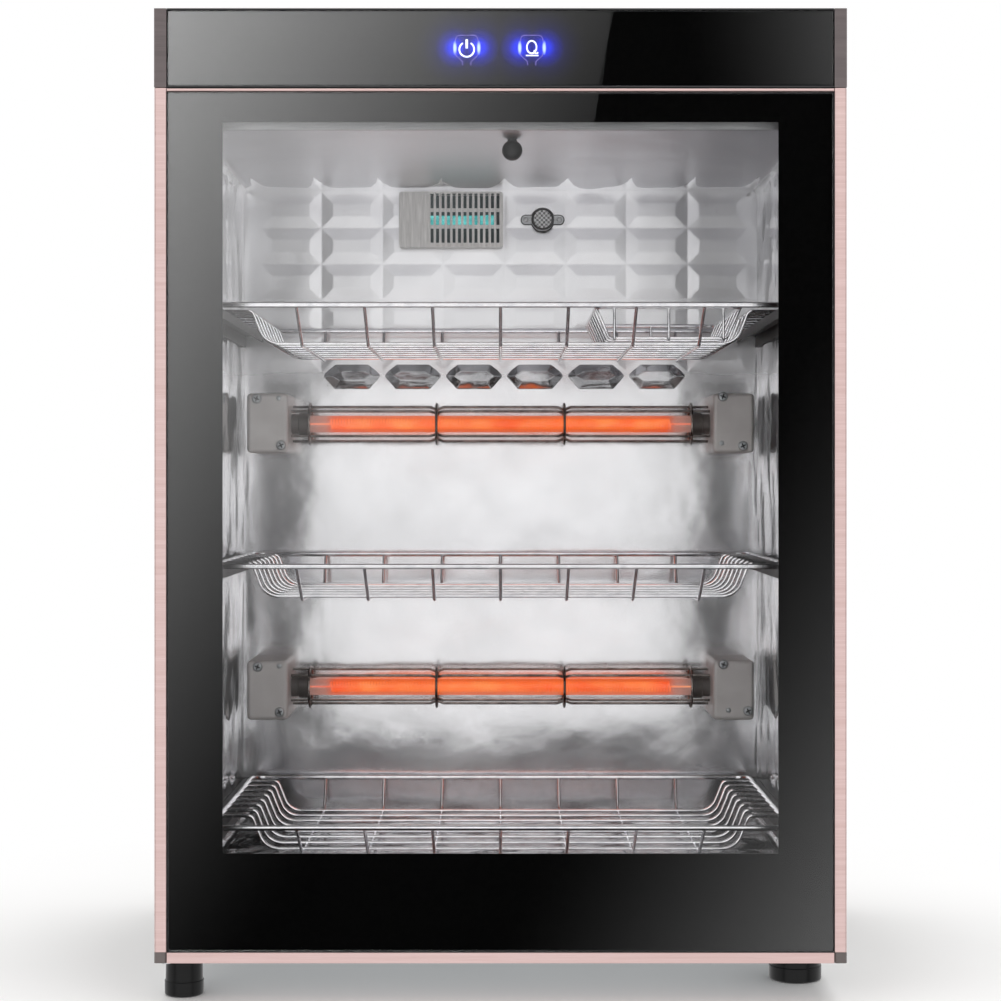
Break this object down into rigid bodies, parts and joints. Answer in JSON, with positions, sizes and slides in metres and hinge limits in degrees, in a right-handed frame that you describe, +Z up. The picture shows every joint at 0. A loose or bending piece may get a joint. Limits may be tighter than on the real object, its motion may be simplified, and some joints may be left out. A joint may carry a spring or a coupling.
{
  "type": "dish sterilizer cabinet",
  "caption": "Upright warming and sterilizing cabinet with a framed glass door, wire racks, a cutlery basket, infrared heaters and a germicidal lamp.",
  "frame": {"origin": "middle of the base of the bounding box, on the surface that the feet stand on", "axes": "+Z up, the door faces -Y, +X to the right of someone who looks at the door"},
  "size_m": [0.43, 0.34, 0.621],
  "materials": {
    "painted_steel": "black powder coat, semi-gloss",
    "satin_steel": "satin stainless steel",
    "mirror_steel": "polished stainless steel, slightly wavy",
    "zinc_steel": "zinc-plated steel, dull",
    "grey_steel": "grey-brown enamelled steel",
    "chrome_wire": "bright chrome-plated wire",
    "dark_wire": "darkened plated wire",
    "black_gloss": "gloss black",
    "black_plastic": "fine-grained black",
    "black_glass": "black-backed tempered glass",
    "smoked_glass": "clear tempered glass with a black printed border",
    "clear_glass": "clear tempered glass",
    "rose_gold": "brushed, rose gold anodised",
    "warm_grey": "warm grey anodised",
    "dark_brown": "warm dark grey",
    "grey_rubber": "soft silicone rubber",
    "glass_wool": "glass fibre wool",
    "green_board": "glass-epoxy circuit board",
    "dark_ceramic": "unglazed dark ceramic",
    "hot_quartz": "quartz tube, glowing orange",
    "lamp_glass": "quartz tube, glowing blue-green"
  },
  "bodies": {
    "cabinet": {"outer_shell": "painted_steel", "front_frame": "satin_steel", "back_cover": "zinc_steel", "base_plate": "zinc_steel", "cavity_liner": "mirror_steel", "liner_back": "mirror_steel", "insulation_wrap": "glass_wool", "insulation_back": "glass_wool", "control_housing": "black_plastic", "control_glass": "black_glass", "panel_end_cap_left": "warm_grey", "panel_end_cap_right": "warm_grey", "touch_board": "green_board", "power_board": "green_board", "uv_cover": "satin_steel", "uv_lamp": "lamp_glass", "uv_lamp_bracket": "zinc_steel", "thermostat": "satin_steel", "ceiling_plug": "black_gloss", "hinge_bracket_lower": "zinc_steel", "hinge_bracket_upper": "zinc_steel", "hinge_pin_lower": "satin_steel", "hinge_pin_upper": "satin_steel", "cord_gland": "black_plastic", "heater_tube_lower": "hot_quartz", "heater_guard_lower": "dark_wire", "heater_cap_lower_left": "dark_ceramic", "heater_holder_lower_left": "grey_steel", "heater_cap_lower_right": "dark_ceramic", "heater_holder_lower_right": "grey_steel", "heater_tube_upper": "hot_quartz", "heater_guard_upper": "dark_wire", "heater_cap_upper_left": "dark_ceramic", "heater_holder_upper_left": "grey_steel", "heater_cap_upper_right": "dark_ceramic", "heater_holder_upper_right": "grey_steel", "rack_rail_lower_left": "black_plastic", "rack_rail_lower_right": "black_plastic", "rack_rail_middle_left": "black_plastic", "rack_rail_middle_right": "black_plastic", "rack_rail_upper_left": "black_plastic", "rack_rail_upper_right": "black_plastic", "foot_front_left": "black_gloss", "foot_front_right": "black_gloss", "foot_rear_left": "black_gloss", "foot_rear_right": "black_gloss"},
    "door": {"door_frame": "black_plastic", "door_glass": "smoked_glass", "door_inner_glass": "clear_glass", "door_gasket": "grey_rubber", "door_stile_left": "rose_gold", "door_stile_right": "rose_gold", "door_rail_top": "rose_gold", "door_rail_bottom": "rose_gold", "door_corner_left": "dark_brown", "door_corner_right": "dark_brown"},
    "rack_lower": {"rack_lower": "chrome_wire"},
    "rack_middle": {"rack_middle": "chrome_wire"},
    "rack_upper": {"rack_upper": "chrome_wire"},
    "cutlery_basket": {"cutlery_basket": "chrome_wire"}
  },
  "joints": [
    {"name": "door_hinge", "type": "hinge", "parent": "cabinet", "child": "door", "pos_m": [-0.2104, -0.15131, 0.3], "axis": [0, 0, -1], "range_deg": [0, 115]},
    {"name": "rack_lower_slide", "type": "slide", "parent": "cabinet", "child": "rack_lower", "axis": [0, -1, 0], "range_m": [0, 0.105]},
    {"name": "rack_middle_slide", "type": "slide", "parent": "cabinet", "child": "rack_middle", "axis": [0, -1, 0], "range_m": [0, 0.105]},
    {"name": "rack_upper_slide", "type": "slide", "parent": "cabinet", "child": "rack_upper", "axis": [0, -1, 0], "range_m": [0, 0.105]},
    {"name": "basket_lift", "type": "slide", "parent": "rack_upper", "child": "cutlery_basket", "axis": [0, 0, 1], "range_m": [0, 0.05]}
  ],
  "couplings": [
    {"joint": "rack_lower_slide", "follows": "door_hinge", "m_per_rad": 0.052},
    {"joint": "rack_middle_slide", "follows": "door_hinge", "m_per_rad": 0.052},
    {"joint": "rack_upper_slide", "follows": "door_hinge", "m_per_rad": 0.052}
  ]
}
